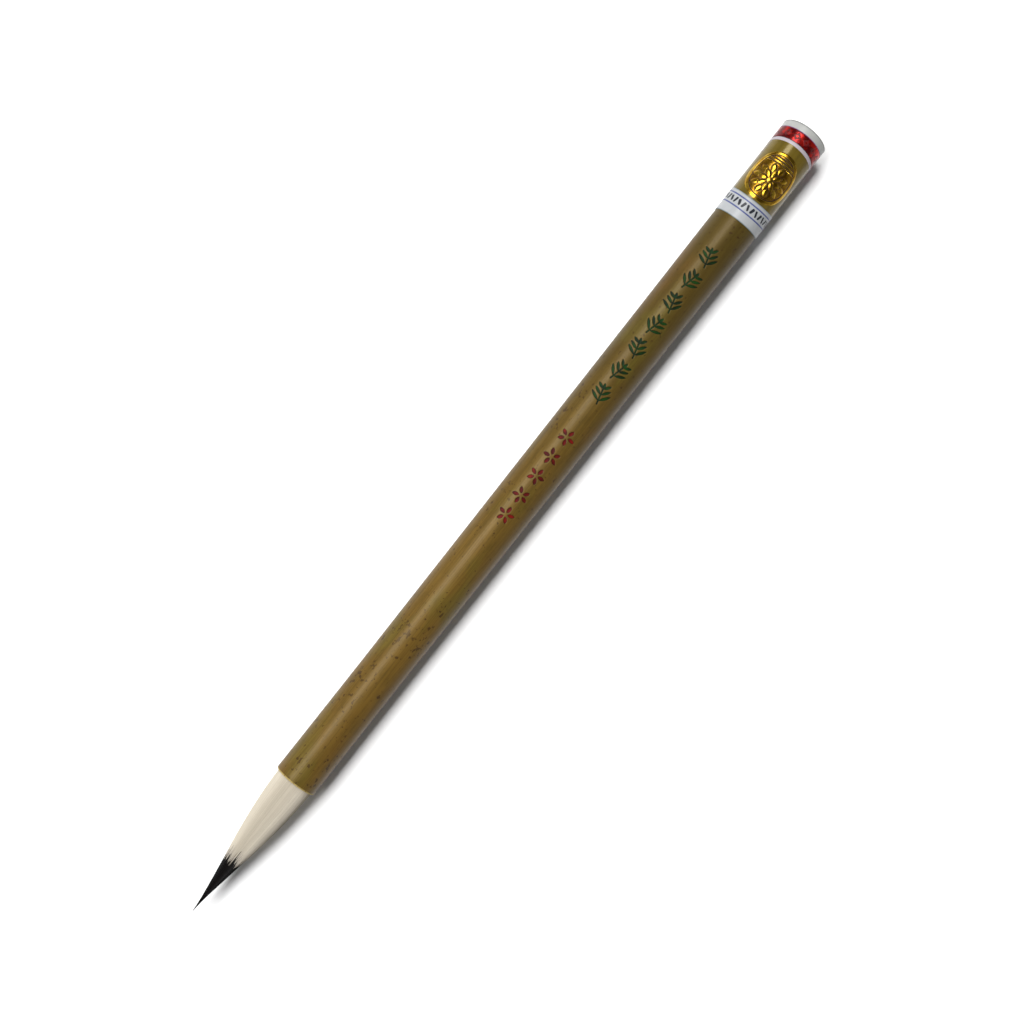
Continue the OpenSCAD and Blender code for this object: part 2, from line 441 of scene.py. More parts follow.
def bamboo_finish():
    wood = Finish("bamboo")
    place = wood.place()
    x = wood.parts(place)[0]
    fibres = wood.noise(place * (0.03, 1.0, 1.0), 3600, 3)
    streaks = wood.noise(place * (0.05, 1.0, 1.0), 700, 4)
    clouds = wood.noise(place * (0.35, 1.0, 1.0), 95, 4, 0.6)
    warm_end = wood.step(x, 0.085, -0.03)
    olive = wood.mix(streaks, linear(50, 42, 14), linear(70, 58, 22))
    ochre = wood.mix(streaks, linear(84, 62, 22), linear(110, 84, 34))
    colour = wood.mix(warm_end * 0.75 + clouds * 0.25, olive, ochre)
    brown = wood.step(clouds, 0.52, 0.72)
    colour = wood.mix(brown * 0.6, colour, linear(86, 60, 22))
    green = wood.step(wood.noise(place * (0.4, 1.0, 1.0) + (0.3, 0.2, 0.1), 120, 3), 0.55, 0.7)
    colour = wood.mix(green * 0.45, colour, linear(84, 78, 28))
    colour = wood.mix(wood.step(fibres, 0.4, 0.64) * 0.36, colour, linear(56, 42, 14))

    mottle = wood.noise(place * (0.4, 1.0, 1.0), 520, 4, 0.7)
    colour = wood.mix(wood.step(mottle, 0.45, 0.7) * 0.3, colour, linear(58, 46, 14))

    patch = wood.noise(place, 75, 2)
    spot = wood.noise(place * (0.8, 1.0, 1.0), 900, 3, 0.6)
    spots = wood.step(spot + patch * 0.35 + wood.step(x, 0.02, -0.07) * 0.05, 0.83, 0.88)
    colour = wood.mix(spots * 0.8, colour, linear(44, 27, 8))
    dots = wood.step(wood.noise(place, 1300, 1), 0.7, 0.74)
    colour = wood.mix(dots * 0.6, colour, linear(48, 31, 10))

    worn = wood.step(x, (MOUTH_X + 0.45) * MM, (MOUTH_X + 0.2) * MM)
    grain_dots = wood.node("TexVoronoi", {"feature": "F1"},
                           {"Vector": place * (0.02, 1.0, 1.0), "Scale": 2300.0})
    end_wood = wood.mix(wood.step(grain_dots, 0.32, 0.18), linear(160, 142, 88),
                        linear(104, 78, 38))
    far_cut = wood.step(x, (TAIL_X - 0.12) * MM, (TAIL_X - 0.04) * MM)
    bore = wood.node("Math", {"operation": "LESS_THAN"},
                     {0: wood.node("VectorMath", {"operation": "LENGTH"},
                                   {0: (place - (0, 0, AXIS_Z * MM)) * (0.0, 1.0, 1.0)},
                                   out="Value"),
                      1: INSIDE_R * MM})
    cut = wood.node("Math", {"operation": "MAXIMUM"}, {0: bore, 1: far_cut})
    cut = wood.node("Math", {"operation": "MAXIMUM"}, {0: cut, 1: worn})
    colour = wood.mix(cut, colour, end_wood)

    cut_marks = wood.mark("cut")
    # The walls of the engraved cuts are darkened by their depth: painted shade in the grooves.
    colour = wood.mix(wood.step(cut_marks, 0.02, 0.2) * 0.8, colour, linear(46, 34, 18))
    height = fibres * 0.6 + streaks * 0.4 - spots * 0.8
    return wood.surface(
        Base_Color=colour, Roughness=0.4 + clouds * 0.1 + cut * 0.25,
        Specular_IOR_Level=0.31, Specular_Tint=(1.0, 0.76, 0.4, 1),
        Coat_Weight=0.05 - cut * 0.04, Coat_Roughness=0.2, Coat_Tint=(1.0, 0.9, 0.7, 1),
        Normal=wood.bump(height, 0.03, 0.45))


bamboo = bamboo_finish()
print("bamboo has", len(bamboo.node_tree.nodes), "nodes")

# %% [markdown]
# Handle
#
# The handle is a slim culm with a natural hollow, bored wide at the mouth to take the
# hair and thicker towards the tail. One closed profile is carried round the axis:
# outside, tail face, hollow, socket and the worn lip of the mouth. Real bamboo isn't
# turned, so the outside is also let in by a few hundredths of a millimetre of slow
# unevenness. The rows are close together only where the marks are cut.

# %% Bamboo handle
CAP_SEAT = 30.0
TAPER_END = 158.6
SOCKET_R, SOCKET_DEPTH, HOLLOW_R = 4.55, 10.0, 1.7
LIP = 0.3
FINE = 0.115
FINE_ANGLE = math.radians(33.5)


def culm_radius(along):
    """Radius of the culm at millimetres past the mouth."""
    rise = np.clip((along - CAP_SEAT) / (TAPER_END - CAP_SEAT), 0, 1)
    return MOUTH_R + (TAIL_R - MOUTH_R) * rise


def unevenness(along, angle):
    """A slow hollow of the culm, in millimetres, never proud of its size."""
    wave = (np.sin(angle * 2 + along * 0.021 + 0.6) + np.sin(angle * 3 - along * 0.034)
            + np.sin(along * 0.11 + np.cos(angle) * 1.3) * 0.7)
    return 0.012 * (wave + 2.7)


fine_angles = np.arange(-FINE_ANGLE, FINE_ANGLE + 1e-6, FINE / 5.5)
rough_angles = np.linspace(FINE_ANGLE, 2 * math.pi - FINE_ANGLE, 57)[1:-1]
angles = np.concatenate([fine_angles, rough_angles])
outer_rows = np.concatenate([
    np.arange(LIP, 73.0, 1.0), np.arange(*RED_STRETCH, FINE), np.arange(101.6, 107.7, 1.0),
    np.arange(*GREEN_STRETCH, FINE), np.arange(154.9, HANDLE_LEN - 0.3, 1.2)])
profile = [(s, None) for s in outer_rows]
profile += [(HANDLE_LEN - 0.12, TAIL_R), (HANDLE_LEN - 0.03, TAIL_R - 0.05),
            (HANDLE_LEN, TAIL_R - 0.15), (HANDLE_LEN, 3.7), (HANDLE_LEN, HOLLOW_R)]
profile += [(s, HOLLOW_R) for s in (182.0, 150.0, 120.0, 90.0, 60.0, 30.0, SOCKET_DEPTH)]
profile += [(SOCKET_DEPTH, 3.0), (SOCKET_DEPTH, SOCKET_R), (5.0, SOCKET_R), (0.1, SOCKET_R),
            (0.0, SOCKET_R + 0.06), (0.0, MOUTH_R - LIP)]
profile += [(LIP * (1 - math.cos(a)), MOUTH_R - LIP * (1 - math.sin(a)))
            for a in np.radians((25, 45, 65))]
row_s = np.array([s for s, r in profile])[:, None]
row_r = np.array([culm_radius(s) if r is None else r for s, r in profile])[:, None]
outside = np.array([r is None for s, r in profile])[:, None]
column = angles[None, :]
wall = row_r - outside * unevenness(row_s, column) * np.clip((row_s - LIP) / 3, 0, 1)
on_top = (np.cos(column) > 0) & outside
across = wall * np.sin(column)
green_in = inside_marks(row_s + 0 * column, across, green_marks)
red_in = inside_marks(row_s + 0 * column, across, red_marks)
cut = np.clip(np.maximum(green_in, red_in) * WALL_SLOPE, 0, CUT_DEPTH) * on_top
handle_points = on_brush(row_s, column, wall - cut)
handle = make_piece("handle_bamboo", handle_points,
                    grid_faces(len(profile), len(angles), wrap_rows=True),
                    bamboo, {"cut": cut}, sharp=50)
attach(handle, "handle")
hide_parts("bamboo_handle")

# %% [markdown]
# Paint in the cuts
#
# Pigment bound with resin fills each cut almost to the top, and its colour turns near
# black along the edge of each cut. Each fill is a thin slab that is a little wider than
# its cut, a little below the surface: the sloping wall of the cut trims it, so its
# outline is as crisp as the knife's.


# %% Green and red paint
def paint_finish(name, deep, lit):
    paint = Finish(name)
    place = paint.place()
    grain = paint.noise(place, 1500, 4, 0.65)
    brush = paint.noise(place, 420, 2)
    body = paint.step(paint.mark("inside"), 0.03, 0.13)
    colour = paint.mix(paint.step(brush, 0.35, 0.7), deep, lit)
    # The fill turns near black where it is close to the wall of its cut.
    colour = paint.mix(body, linear(9, 9, 6), colour)
    colour = paint.mix(paint.step(grain, 0.52, 0.68) * 0.5, colour, deep)
    return paint.surface(Base_Color=colour, Roughness=0.5 + grain * 0.2,
                         Specular_IOR_Level=0.12,
                         Normal=paint.bump(grain, 0.05, 0.6))


def paint_fill(name, marks, stretch, material):
    """A closed slab under every cell of a fine grid that a mark comes near."""
    rows = np.arange(*stretch, FINE)[:, None]
    columns = fine_angles[None, :]
    radius = culm_radius(rows) - unevenness(rows, columns)
    inside = inside_marks(rows + 0 * columns, radius * np.sin(columns), marks)
    near = inside > -FINE
    cells = near[:-1, :-1] | near[1:, :-1] | near[:-1, 1:] | near[1:, 1:]
    top = on_brush(rows, columns, radius - PAINT_DROP - 0.05 * np.clip(inside * 4, 0, 1))
    under = on_brush(rows, columns, radius - CUT_DEPTH + 0.02)
    size, width = rows.size * columns.size, columns.size
    faces = []
    for i, j in np.argwhere(cells):
        a, b, c, d = (i * width + j, (i + 1) * width + j,
                      (i + 1) * width + j + 1, i * width + j + 1)
        faces += [(a, b, c, d), (a + size, d + size, c + size, b + size)]
        for (di, dj), (p, q) in (((0, -1), (b, a)), ((0, 1), (d, c)),
                                 ((-1, 0), (a, d)), ((1, 0), (c, b))):
            m, n = i + di, j + dj
            if not (0 <= m < cells.shape[0] and 0 <= n < cells.shape[1] and cells[m, n]):
                faces.append((p, q, q + size, p + size))
    used = np.unique(np.array([v for f in faces for v in f]))
    fresh = np.full(2 * size, -1)
    fresh[used] = np.arange(len(used))
    points = np.concatenate([top.reshape(-1, 3), under.reshape(-1, 3)])[used]
    marks_in = np.tile(inside.ravel(), 2)[used]
    return make_piece(name, points, [tuple(fresh[list(f)]) for f in faces],
                      material, {"inside": marks_in})


green_fill = paint_fill("paint_green", green_marks, GREEN_STRETCH,
                        paint_finish("green_paint", linear(7, 26, 4), linear(16, 52, 8)))
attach(green_fill, "handle")
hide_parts("green_inlay")
red_fill = paint_fill("paint_red", red_marks, RED_STRETCH,
                      paint_finish("red_paint", linear(62, 6, 3), linear(106, 14, 6)))
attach(red_fill, "handle")
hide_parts("red_inlay")

# %% [markdown]
# Label bands
#
# A printed sleeve is shrunk round the tail: gold-tinted film, with a white band, a
# band of red foil and a grey hem printed on it. It is wound on a little askew, so its
# edges lean: each edge lies in a plane of its own. Every band is one closed ring
# between two such edges, with its corners eased by a hundredth of a millimetre so
# that they catch the light.


# %% Ring maker
ROUND = np.linspace(-math.pi, math.pi, 193)[:-1]
FILM_GAP = 0.012


def leaning(back, lean):
    """An edge round the label: millimetres past the mouth for each angle."""
    return HANDLE_LEN - back + math.tan(math.radians(lean)) * TAIL_R * (1 - np.cos(ROUND))


def ring(name, inner, outer, first, last, material, rows=6):
    """A closed ring between two edges."""
    ease = 0.3 * (outer - inner)
    share = np.concatenate([[0.0], np.linspace(0, 1, rows), [1.0]])[:, None]
    along = first + (last - first) * share
    along[1], along[-2] = first + ease, last - ease
    radius = np.full(along.shape, outer)
    radius[0] = radius[-1] = outer - ease
    along = np.concatenate([along, [last, first]])
    share = np.concatenate([share, [[1.0], [0.0]]])
    radius = np.concatenate([radius, np.full((2, len(ROUND)), inner)])
    angle = np.broadcast_to(ROUND, along.shape)
    piece = make_piece(name, on_brush(along, angle, radius),
                       grid_faces(len(along), len(ROUND), wrap_rows=True), material,
                       {"round": angle, "share": np.broadcast_to(share, along.shape),
                        "edge": np.minimum(share, 1 - share) * (last - first)}, sharp=60)
    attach(piece, "handle")
    return piece


print("ring maker ready")

# %% [markdown]
# Printed finishes
#
# The film clings to the bamboo and gives it a gold cast and a hard shine. A see-through
# sheet a twentieth of a millimetre above another surface only renders as grain, so the
# bamboo's fibres are drawn in the film's own colour instead. The white is dense ink, a
# touch blue, with a greenish edge where it thins. The foil is metal: what shows is what
# it reflects, so it needs little colour and low roughness, and its pattern is a plain
# row of dull lozenges.


# %% Film, white band and red foil
def film_finish():
    film = Finish("clear_film")
    place = film.place()
    ripple = film.noise(place * (1.0, 0.5, 0.5), 260, 3)
    fibres = film.noise(place * (0.05, 1.0, 1.0), 700, 4)
    colour = film.mix(ripple, linear(102, 85, 26), linear(76, 64, 24))
    colour = film.mix(film.step(fibres, 0.42, 0.66) * 0.4, colour, linear(62, 52, 18))
    return film.surface(
        Base_Color=colour, Roughness=0.16 + ripple * 0.08,
        Specular_IOR_Level=0.42, Specular_Tint=(1.0, 0.85, 0.5, 1),
        Normal=film.bump(ripple, 0.08, 0.35))


def white_print_finish():
    paper = Finish("white_print")
    mottle = paper.noise(paper.place(), 900, 4)
    weave = paper.noise(paper.place() * (1.0, 0.2, 0.2), 1800, 2)
    edge = paper.mark("edge")
    colour = paper.mix(mottle, linear(146, 149, 151), linear(160, 162, 164))
    colour = paper.mix(paper.step(edge, 0.32, 0.0) * 0.8, colour, linear(62, 80, 80))
    return paper.surface(Base_Color=colour, Roughness=0.24 + mottle * 0.1,
                         Specular_IOR_Level=0.2,
                         Normal=paper.bump(weave + mottle, 0.02, 0.3))


LOZENGES = 14


def red_foil_finish():
    foil = Finish("red_foil")
    turn = foil.mark("round") * (LOZENGES / (2 * math.pi)) + 0.5
    across = foil.node("Math", {"operation": "PINGPONG"}, {0: turn, 1: 0.5})
    middle = foil.node("Math", {"operation": "ABSOLUTE"}, {0: foil.mark("share") - 0.5})
    lattice = foil.step(across * 0.9 + middle, 0.36, 0.3) * foil.step(
        across * 0.9 + middle, 0.1, 0.14)
    crumple = foil.noise(foil.place(), 420, 4, 0.65)
    patches = foil.step(crumple, 0.46, 0.58)
    colour = foil.mix(patches, linear(96, 8, 10), linear(170, 24, 16))
    colour = foil.mix(lattice * 0.7, colour, linear(62, 6, 8))
    return foil.surface(Base_Color=colour, Metallic=0.75 - lattice * 0.4,
                        Roughness=0.2 + lattice * 0.25 + crumple * 0.1,
                        Normal=foil.bump(crumple + lattice * 0.5, 0.08, 0.5))


def flat_print_finish(name, light, dark, rough):
    ink = Finish(name)
    mottle = ink.noise(ink.place(), 1300, 4, 0.6)
    return ink.surface(Base_Color=ink.mix(mottle, light, dark), Roughness=rough + mottle * 0.1,
                       Specular_IOR_Level=0.25,
                       Normal=ink.bump(mottle, 0.02, 0.3))


blue_ink = flat_print_finish("blue_print", linear(78, 86, 132), linear(60, 66, 108), 0.3)
black_ink = flat_print_finish("black_print", linear(40, 42, 50), linear(22, 24, 30), 0.35)
print("printed finishes ready")

# %% [markdown]
# Label
#
# The sleeve is built as it is printed, from the bamboo outwards: film first, then
# the white band with its two blue rules and a border of slanting dashes between
# them, the thin white line, the red foil, the grey hem and its dark rim.

# %% Label rings
BAND_LEAN, RED_LEAN = 14.5, -6.4
hem_edge, band_edge, tail_edge = leaning(27.8, 8.8), leaning(21.7, BAND_LEAN), leaning(0, 0)
line_edge, dark_edge, red_edge = (leaning(back, RED_LEAN) for back in (5.7, 4.85, 4.7))
grey_edge, rim_edge = leaning(1.87, 0), leaning(0.15, 0)
film = ring("label_film_sleeve", TAIL_R + FILM_GAP, FILM_R, hem_edge, tail_edge,
            film_finish(), rows=24)
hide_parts("label_film")

white_band = ring("label_white_band_print", FILM_R, PRINT_R, hem_edge, band_edge,
                  white_print_finish(), rows=14)
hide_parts("label_white_band")

RULES = (25.6, 22.9)
RULE_W, RULE_T = 0.34, 0.02
for number, back in enumerate(RULES):
    rule = ring(f"label_blue_rule_{number + 1}", PRINT_R, PRINT_R + RULE_T,
                leaning(back, BAND_LEAN), leaning(back - RULE_W, BAND_LEAN), blue_ink,
                rows=3)
    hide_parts("label_blue_lines")

white_line = ring("label_white_line", FILM_R, PRINT_R, line_edge, dark_edge,
                  flat_print_finish("white_line_print", linear(164, 156, 162),
                                    linear(150, 142, 148), 0.3), rows=4)
dark_line = ring("label_dark_line", FILM_R, PRINT_R, dark_edge, red_edge, black_ink,
                 rows=3)
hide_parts("white_line_ring")
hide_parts("white_line_ring")

red_band = ring("label_red_foil", FILM_R, PRINT_R, red_edge, grey_edge,
                red_foil_finish(), rows=10)
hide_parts("red_foil_band")
ring("label_purple_rule", PRINT_R, PRINT_R + RULE_T / 2, leaning(1.97, 0), leaning(1.8, 0),
     flat_print_finish("purple_print", linear(110, 70, 110), linear(90, 56, 92), 0.3),
     rows=3)
grey_band = ring("label_grey_band", FILM_R, PRINT_R, grey_edge, rim_edge,
                 flat_print_finish("grey_print", linear(160, 160, 157),
                                   linear(146, 147, 145), 0.3), rows=6)
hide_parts("end_band")
rim = ring("label_rim", FILM_R, PRINT_R + RULE_T, rim_edge, tail_edge,
           flat_print_finish("trim_print", linear(92, 96, 94), linear(62, 66, 64), 0.35),
           rows=3)
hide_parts("end_trim")

# %% [markdown]
# Border of dashes
#
# Between the blue rules runs a border of short slanting dashes. Each dash is a small
# curved plate with rounded ends that follows the sleeve, so all of them are one
# mesh built by laying the same outline at equal angles.


# %% Dashes
def dash_border(count, long, half, lean_each):
    """Closed plates on the sleeve, alternately slanting each way."""
    middle = HANDLE_LEN - sum(RULES) / 2 + RULE_W / 2
    points, faces = [], []
    n = 16
    turn = np.linspace(0, 2 * math.pi, n + 1)[:-1]
    for i in range(count):
        centre = i * 2 * math.pi / count
        slant = lean_each if i % 2 == 0 else -lean_each
        swell = half * rng.uniform(0.85, 1.15)
        u = np.cos(turn) * swell + np.sign(np.cos(turn)) * (long / 2 - swell)
        v = np.sin(turn) * swell * (1 + 0.35 * np.cos(turn))
        along = (middle + u * math.cos(slant) - v * math.sin(slant)
                 + math.tan(math.radians(BAND_LEAN)) * TAIL_R * (1 - math.cos(centre)))
        angle = centre + (u * math.sin(slant) + v * math.cos(slant)) / PRINT_R
        first = len(points) * n
        points += [on_brush(along, angle, PRINT_R - 0.01),
                   on_brush(along, angle, PRINT_R + RULE_T)]
        faces.append([first + n + k for k in range(n)])
        faces.append([first + k for k in reversed(range(n))])
        faces += [[first + k, first + (k + 1) % n, first + n + (k + 1) % n, first + n + k]
                  for k in range(n)]
    return np.concatenate(points), faces


dash_points, dash_faces = dash_border(30, 1.6, 0.31, math.radians(18))
dashes = make_piece("label_dash_border", dash_points, dash_faces, black_ink,
                    sharp=40)
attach(dashes, "handle")
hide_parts("label_pattern")

# %% [markdown]
# Gold ornament
#
# The middle of the label carries a hot-stamped gold ornament, pressed so that its
# drawing stands up and its outlines sink and darken. Here it is a lotus over ripples
# in an oval frame. The plate is a fine grid laid on the sleeve: distances to the
# frame, the petals and the ripples give each point a height, and the same numbers
# tell the shader where the dark outlines run. Each ring of petals is given by its
# count, the distance of the roots from the heart, length, width and twist.

# %% Ornament drawing
ORNAMENT_MID, HALF_LONG, HALF_WIDE = 14.75, 6.5, 5.0
FOIL_T = 0.07
FULL = 2.5
STEP = 0.075
FRAME_IN = 0.86
HEART_X, HEART_R = -0.9, 0.75
RIPPLES_FROM, RIPPLE_PITCH = 3.3, 0.72
PETALS = ((10, 1.9, 2.5, 1.5, 18), (8, 0.5, 2.5, 1.35, 0))


def band_of(distance, half):
    """1 on a line, falling to 0 at half its width away."""
    return np.clip(1 - np.abs(distance) / half, 0, 1)


def oval_of(u, v):
    """0 at the middle of the plate and 1 at its edge, which is a full oval."""
    return ((np.abs(u) / HALF_LONG) ** FULL + (np.abs(v) / HALF_WIDE) ** FULL) ** (1 / FULL)


def ornament_drawing(u, v):
    """Relief from 0 to 1 and outline from 0 to 1 at places on the plate."""
    oval = oval_of(u, v)
    relief = np.full(u.shape, 0.45)
    outline = band_of(oval - FRAME_IN, 0.035)
    relief = np.where(oval > FRAME_IN + 0.02, 0.95, relief)
    reach = np.hypot(u - HEART_X, v)
    for count, start, length, wide, twist in PETALS:
        for i in range(count):
            way = math.radians(i * 360 / count + twist)
            root = (HEART_X + start * math.cos(way), start * math.sin(way))
            inside = inside_leaf(u, v, root, way, length, wide, 0.0)
            crown = np.clip(inside / 0.45, 0, 1)
            relief = np.where(inside > 0, 0.35 + 0.65 * crown, relief)
            outline = np.where(inside > 0.1, 0, outline)
            outline = np.maximum(outline, band_of(inside, 0.11))
    relief = np.where(reach < HEART_R, 1 - 0.5 * reach, relief)
    outline = np.where(reach < HEART_R - 0.1, 0, outline)
    outline = np.maximum(outline, band_of(reach - HEART_R, 0.12))
    ripples = (u > RIPPLES_FROM) & (oval < FRAME_IN - 0.02)
    wave = 0.5 + 0.5 * np.cos((u - RIPPLES_FROM) * 2 * math.pi / RIPPLE_PITCH)
    relief = np.where(ripples, 0.25 + 0.7 * wave, relief)
    outline = np.where(ripples, (wave < 0.18) * 1.0, outline)
    return relief, outline


# %% [markdown]
# Ornament plate
#
# A square grid that is drawn in to the oval keeps all its quads and has a clean edge,
# where a grid cut along the oval would be ragged. The same grid is repeated flat on
# the sleeve as the underside, and a strip joins the two along the border.

# %% Plate
u_axis = np.arange(-HALF_LONG, HALF_LONG + STEP, STEP)
v_axis = np.arange(-HALF_WIDE, HALF_WIDE + STEP, STEP)
u_grid, v_grid = np.meshgrid(u_axis, v_axis, indexing="ij")
square = np.maximum(np.abs(u_grid) / HALF_LONG, np.abs(v_grid) / HALF_WIDE)
round_off = square / np.maximum(oval_of(u_grid, v_grid), 1e-6)
u_round, v_round = u_grid * round_off, v_grid * round_off
relief, outline = ornament_drawing(u_round, v_round)
rim_fall = np.clip((1 - oval_of(u_round, v_round)) / 0.03, 0, 1)
foil_r = FILM_R + 0.01 + (FOIL_T - 0.01) * relief * rim_fall
foil_along = HANDLE_LEN - ORNAMENT_MID + u_round
foil_angle = np.arcsin(v_round / FILM_R)
foil_points = np.concatenate([
    on_brush(foil_along, foil_angle, foil_r).reshape(-1, 3),
    on_brush(foil_along, foil_angle, FILM_R).reshape(-1, 3)])
rows, columns = u_round.shape
foil_faces = grid_faces(rows, columns, wrap_columns=False)
foil_faces += [f[::-1] for f in grid_faces(rows, columns, wrap_columns=False,
                                           first=rows * columns)]
border = ([i * columns for i in range(rows)]
          + [(rows - 1) * columns + j for j in range(1, columns)]
          + [i * columns + columns - 1 for i in range(rows - 2, -1, -1)]
          + list(range(columns - 2, 0, -1)))
for a, b in zip(border, border[1:] + border[:1]):
    foil_faces.append((a, a + rows * columns, b + rows * columns, b))
print(f"ornament plate has {rows} by {columns} points")


# %% [markdown]
# Gold finish
#
# Stamped foil is brown in its pressed lines, and its low parts are darkened as painted
# shade, so that it looks bright where it stands proud. The heights and lines stored with
# the plate pick the colours, and the bump takes the same height, so that even the finest ridge
# catches the light.


# %% Gold foil
def gold_finish():
    gold = Finish("gold_foil")
    line = gold.mark("outline")
    height = gold.mark("relief")
    cloud = gold.noise(gold.place(), 500, 4, 0.6)
    scratch = gold.noise(gold.place() * (0.2, 1.0, 1.0), 2600, 2)
    colour = gold.mix(gold.step(cloud, 0.4, 0.65), linear(150, 112, 26), linear(186, 152, 52))
    # Where the relief is low the gold is darkened and browned: painted shade in the hollows of
    # the stamping.
    colour = gold.mix(gold.step(height, 0.3, 0.8), colour * (0.62, 0.5, 0.36), colour)
    colour = gold.mix(gold.step(line, 0.2, 0.7), colour, linear(44, 24, 8))
    return gold.surface(Base_Color=colour, Metallic=1.0 - line * 0.6,
                        Roughness=0.2 + cloud * 0.1 + line * 0.3,
                        Normal=gold.bump(height * 2.0 + scratch * 0.15 + cloud * 0.3, 0.09, 0.8))


ornament = make_piece("label_gold_ornament", foil_points, foil_faces, gold_finish(),
                      {"relief": np.tile(relief.ravel(), 2),
                                    "outline": np.tile(outline.ravel(), 2)}, sharp=50)
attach(ornament, "handle")
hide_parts("gold_foil_ornament")

# %% [markdown]
# The tuft
#
# A mixed-hair tuft is tied in layers: a core of stiff dark hair that makes the
# point, a lining of shorter hair, and a mantle of soft white goat hair that gives the
# belly. Blender's hair system would not survive as a mesh, so each hair is a slim
# tapered tube, and all hairs of a layer are one mesh. Hairs lie on a smooth body of
# their own layer, so no gap shows between them, and they gather in small locks that
# draw together towards their ends.


# %% Hair maker
SWELL, FALL = 1.8, 1.45
TUFT_R = 4.475


def tuft_radius(out):
    """Radius of the tuft at millimetres outside the mouth."""
    rest = 1 - (np.clip(out, 0, TUFT_LEN) / TUFT_LEN) ** SWELL
    return TUFT_R * np.clip(rest, 0, 1) ** FALL


def lay_hairs(starts, ends, angles, locks, depth, wide, steps, pull, spread=0.0):
    """Tapered three-sided tubes on the tuft, one for each start and end."""
    count = len(starts)
    share = np.linspace(0, 1, steps)[None, :] ** 0.9
    out = starts[:, None] + (ends - starts)[:, None] * share
    gather = pull * np.clip((share - 0.35) / 0.65, 0, 1) ** 1.5
    wander = rng.normal(0, 1, (count, 1)) * np.sin(share * math.pi) * 0.02
    angle = angles[:, None] + (locks - angles)[:, None] * gather + wander
    lift = np.clip((share - 0.8) / 0.2, 0, 1) * rng.normal(0, spread, (count, 1))
    radius = tuft_radius(out) * depth[:, None] + lift
    width = wide[:, None] * (1 - 0.8 * share ** 4)
    points = np.stack([
        on_brush(-out, angle + width * np.sin(side) / np.maximum(radius, 0.12),
                 np.maximum(radius + width * 0.6 * np.cos(side), 0.01))
        for side in np.radians((0, 120, 240))], 2)
    i = np.arange(count)[:, None, None] * steps * 3
    j = np.arange(steps - 1)[None, :, None] * 3
    k = np.arange(3)[None, None, :]
    k2 = (k + 1) % 3
    quads = np.stack([i + j + k, i + j + k2, i + j + 3 + k2, i + j + 3 + k], -1)
    faces = quads.reshape(-1, 4).tolist()
    first = (np.arange(count) * steps * 3)[:, None]
    faces += (first + [2, 1, 0]).tolist() + (first + (steps - 1) * 3 + [0, 1, 2]).tolist()
    tone = np.repeat(rng.uniform(0, 1, count), steps * 3)
    shares = np.repeat(np.broadcast_to(share, out.shape).ravel(), 3)
    return points.reshape(-1, 3), faces, tone, shares


def hair_body(profile):
    """A closed turned body, from rows of millimetres outside the mouth and radius."""
    rows = np.array(profile)
    turn = np.linspace(0, 2 * math.pi, 121)[:-1]
    ridges = 1 + 0.012 * np.sin(turn * 37 + 1.0) + 0.008 * np.sin(turn * 61)
    radius = np.maximum(rows[:, 1:2] * np.where(rows[:, 1:2] > 0.3, ridges, 1), 0.004)
    points = on_brush(-rows[:, :1], turn[None, :], radius).reshape(-1, 3)
    faces = [f[::-1] for f in grid_faces(len(rows), len(turn), wrap_rows=True)]
    return points, faces, np.full(len(points), 0.35), np.zeros(len(points))


def hair_piece(name, parts, material):
    """One mesh of a body and its hairs."""
    points, faces, marks = [], [], ([], [])
    for part_points, part_faces, *part_marks in parts:
        first = sum(len(p) for p in points)
        points.append(part_points)
        faces += [[v + first for v in f] for f in part_faces]
        for kept, values in zip(marks, part_marks):
            kept.append(values)
    tone, share = (np.concatenate(kept) for kept in marks)
    return make_piece(name, np.concatenate(points), faces, material,
                      {"tone": tone, "share": share}, sharp=80)


def locks_for(angles, count):
    """The middle of the lock that each hair belongs to."""
    middles = np.sort(rng.uniform(0, 2 * math.pi, count))
    gap = (angles[:, None] - middles[None, :] + math.pi) % (2 * math.pi) - math.pi
    return angles - gap[np.arange(len(angles)), np.argmin(np.abs(gap), axis=1)]


print("hair maker ready")


# %% [markdown]
# Hair finish
#
# Washed goat hair is a warm white that greys where it is thin, and each hair is a
# little different. A number stored on each hair gives that difference, so the streaks
# follow the hairs exactly and stay on them when the tuft bends. A thin rough shine
# stands for the way hair scatters light along its length.


# %% White, lining and dark hair
def hair_finish(name, light, dark, tip, rough, shine):
    hair = Finish(name)
    tone, share = hair.mark("tone"), hair.mark("share")
    colour = hair.mix(tone, light, dark)
    colour = hair.mix(hair.step(share, 0.85, 1.0) * 0.6, colour, tip)
    strands = hair.noise(hair.place() * (0.05, 1.0, 1.0), 5200, 2)
    colour = hair.mix(hair.step(strands, 0.5, 0.7) * 0.15, colour, dark)
    return hair.surface(Base_Color=colour, Roughness=rough + tone * 0.15,
                        Specular_IOR_Level=shine,
                        Normal=hair.bump(strands, 0.02, 0.4))


white_hair = hair_finish("white_hair", linear(186, 178, 163), linear(170, 162, 147),
                         linear(150, 143, 134), 0.55, 0.25)
lining_hair = hair_finish("lining_hair", linear(168, 158, 150), linear(120, 110, 106),
                          linear(70, 62, 62), 0.5, 0.35)
dark_hair = hair_finish("dark_hair", linear(17, 14, 14), linear(6, 5, 5),
                        linear(20, 17, 17), 0.5, 0.14)
print("hair finishes ready")

# %% [markdown]
# White mantle
#
# The mantle starts inside the socket, fills the mouth of the bamboo and ends in
# uneven notches at about three fifths of the tuft. The notches come from the locks:
# hairs of one lock share nearly the same end.

# %% Mantle
ROOT_END = -7.9
CORE_R, LINING_R, ROOT_R = 1.9, 2.45, 4.4
MANTLE_END = 20.6

